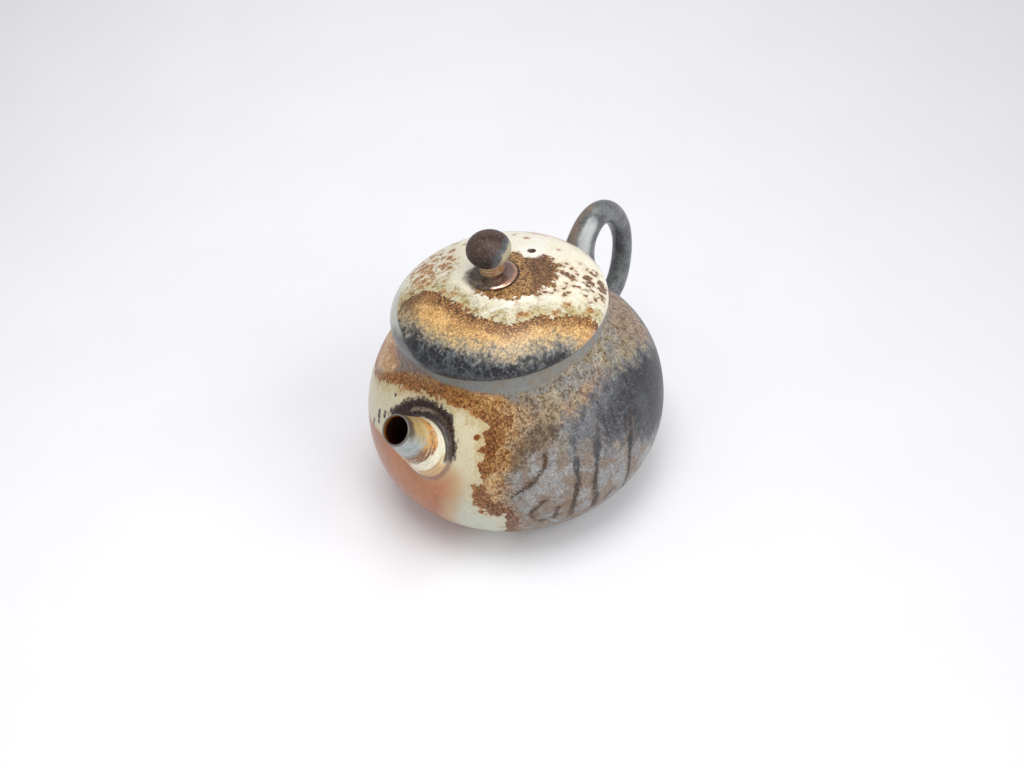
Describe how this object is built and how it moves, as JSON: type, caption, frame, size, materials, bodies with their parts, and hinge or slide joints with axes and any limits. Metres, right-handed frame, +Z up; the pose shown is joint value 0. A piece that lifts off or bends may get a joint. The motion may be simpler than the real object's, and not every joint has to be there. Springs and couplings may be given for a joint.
{
  "type": "porcelain teapot",
  "caption": "Small side teapot in glazed porcelain with a round belly, stub spout, loop handle and a domed lid with a ball knob.",
  "frame": {"origin": "centre of the flat base, on the turning axis, where the pot rests", "axes": "+Z up the turning axis, +X towards the spout, the handle on -X"},
  "size_m": [0.1133, 0.085, 0.0853],
  "materials": {
    "pot_glaze": "satin kiln-effect glaze, cream to rust and slate",
    "spout_glaze": "glossy pale glaze with a golden-brown band",
    "strainer_glaze": "thin satin glaze",
    "handle_glaze": "satin slate glaze",
    "lid_glaze": "satin cream glaze with ochre and charcoal bands",
    "flange_porcelain": "bare fired porcelain",
    "stem_glaze": "glossy golden-brown glaze",
    "ball_glaze": "dry speckled dark glaze"
  },
  "bodies": {
    "pot": {"pot_body": "pot_glaze", "spout": "spout_glaze", "spout_strainer": "strainer_glaze", "handle": "handle_glaze"},
    "lid": {"lid": "lid_glaze", "lid_flange": "flange_porcelain", "knob_stem": "stem_glaze", "knob_ball": "ball_glaze"}
  },
  "joints": [
    {"name": "lid_lift", "type": "slide", "parent": "pot", "child": "lid", "axis": [0, 0, 1], "range_m": [0, 0.06]}
  ]
}
